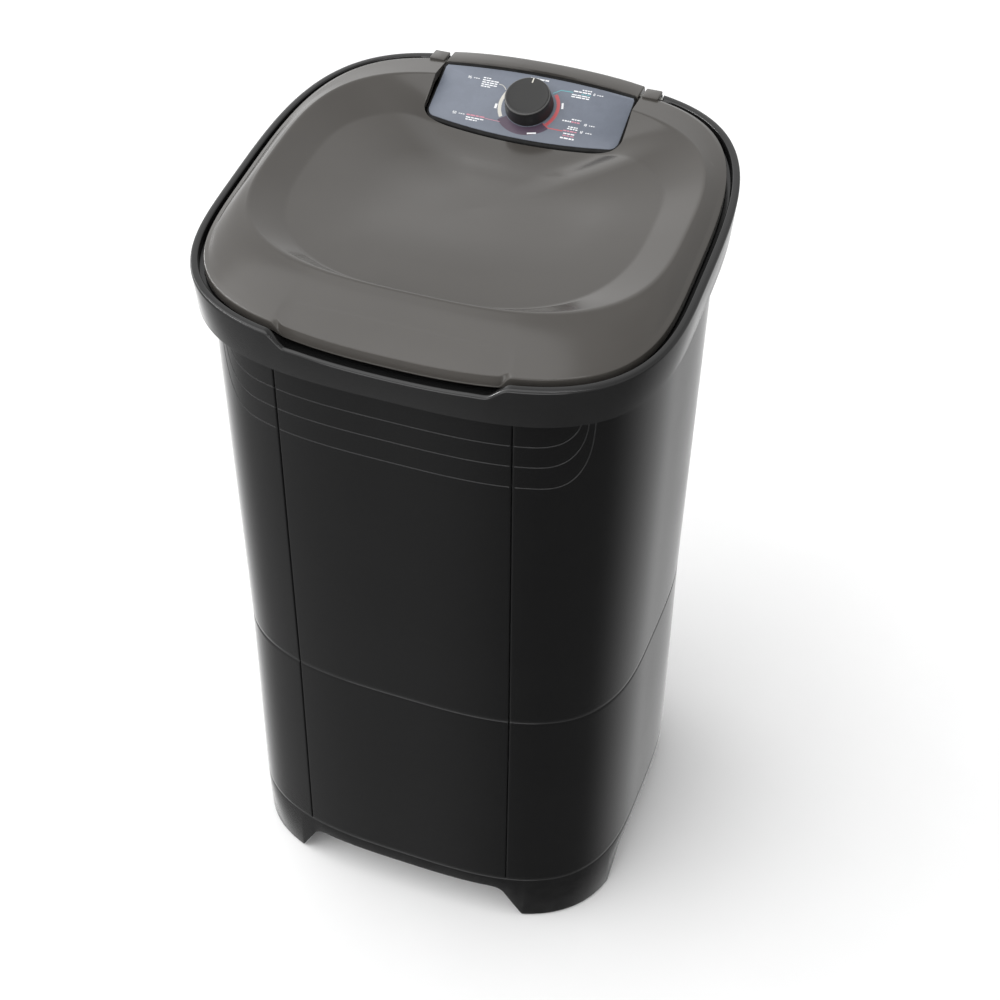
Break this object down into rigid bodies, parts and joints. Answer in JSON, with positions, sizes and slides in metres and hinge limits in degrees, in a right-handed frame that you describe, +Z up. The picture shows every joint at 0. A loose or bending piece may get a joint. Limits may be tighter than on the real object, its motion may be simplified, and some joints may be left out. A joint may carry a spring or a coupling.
{
  "type": "semi-automatic top-loading washing machine",
  "caption": "Tall top-loading washing machine with a rounded tapering cabinet, four corner feet, a sloping collar, a dished hinged lid and a wedge console with one round knob.",
  "frame": {"origin": "bottom centre of the bounding box, on the floor", "axes": "+Z up, the front faces -Y, +X to the viewer's right when facing the front"},
  "size_m": [0.59, 0.54, 1.0229],
  "materials": {
    "shell": "glossy black moulded cabinet",
    "collar": "glossy black moulded collar",
    "lid": "glossy taupe grey",
    "console_black": "satin black",
    "label": "satin blue grey overlay with plain dial marks",
    "knob": "satin charcoal",
    "inner_black": "satin black",
    "white_plastic": "satin white",
    "blue_plastic": "satin blue",
    "tub": "satin pale grey polypropylene",
    "rubber": "matt black",
    "zinc": "zinc plated",
    "galvanised": "galvanised sheet",
    "aluminium": "cast, satin",
    "brass": "sintered bronze",
    "copper": "varnished copper windings",
    "motor_paint": "satin dark grey"
  },
  "bodies": {
    "cabinet": {"plinth": "shell", "foot_pads": "rubber", "front_panel": "shell", "left_side_panel": "shell", "right_side_panel": "shell", "rear_panel": "shell", "joint_strips": "inner_black", "service_cover": "inner_black", "service_cover_screws": "zinc", "top_collar": "collar", "hinge_pins": "zinc", "lid_bumpers": "rubber", "control_housing": "console_black", "control_pan": "inner_black", "console_trim": "lid", "control_label": "label", "timer_body": "white_plastic", "timer_screws": "zinc", "wash_tub": "tub", "tub_gasket": "rubber", "lint_filter_holder": "white_plastic", "bearing_housing": "aluminium", "upper_bush": "brass", "lower_bush": "brass", "shaft_seal": "rubber", "bearing_bolts": "zinc", "drive_belt": "rubber", "motor_stator": "copper", "motor_housing": "motor_paint", "motor_lower_cap": "aluminium", "motor_upper_cap": "aluminium", "motor_bolts": "zinc", "drive_frame": "galvanised", "frame_standoffs": "galvanised", "frame_bolts": "zinc", "capacitor": "aluminium", "capacitor_clip": "galvanised", "drain_pipe": "rubber", "drain_outlet": "inner_black", "pipe_clamp": "zinc", "cord_gland": "rubber"},
    "lid_body": {"lid": "lid"},
    "timer": {"timer_knob": "knob", "timer_shaft": "zinc"},
    "agitator_group": {"agitator": "white_plastic", "agitator_bolt": "zinc", "agitator_cap": "blue_plastic", "drive_shaft": "zinc", "large_pulley": "aluminium", "pulley_nut": "zinc"},
    "rotor_group": {"motor_rotor": "zinc", "motor_pulley": "aluminium"},
    "filter_body": {"lint_filter": "blue_plastic"}
  },
  "joints": [
    {"name": "lid_hinge", "type": "hinge", "parent": "cabinet", "child": "lid_body", "pos_m": [0, 0.254, 1], "axis": [-1, 0, 0], "range_deg": [0, 100]},
    {"name": "timer_turn", "type": "hinge", "parent": "cabinet", "child": "timer", "pos_m": [0, 0.19517, 0.99093], "axis": [0, 0.4226, -0.9063], "range_deg": [0, 330]},
    {"name": "agitator_spin", "type": "hinge", "parent": "cabinet", "child": "agitator_group", "pos_m": [0, 0, 0.4], "axis": [0, 0, 1], "continuous": true},
    {"name": "rotor_spin", "type": "hinge", "parent": "cabinet", "child": "rotor_group", "pos_m": [0, 0.14, 0.3], "axis": [0, 0, 1], "continuous": true},
    {"name": "filter_slide", "type": "slide", "parent": "cabinet", "child": "filter_body", "axis": [0, 0, 1], "range_m": [0, 0.06]}
  ],
  "couplings": [
    {"joint": "rotor_spin", "follows": "agitator_spin", "ratio": 4.02}
  ]
}
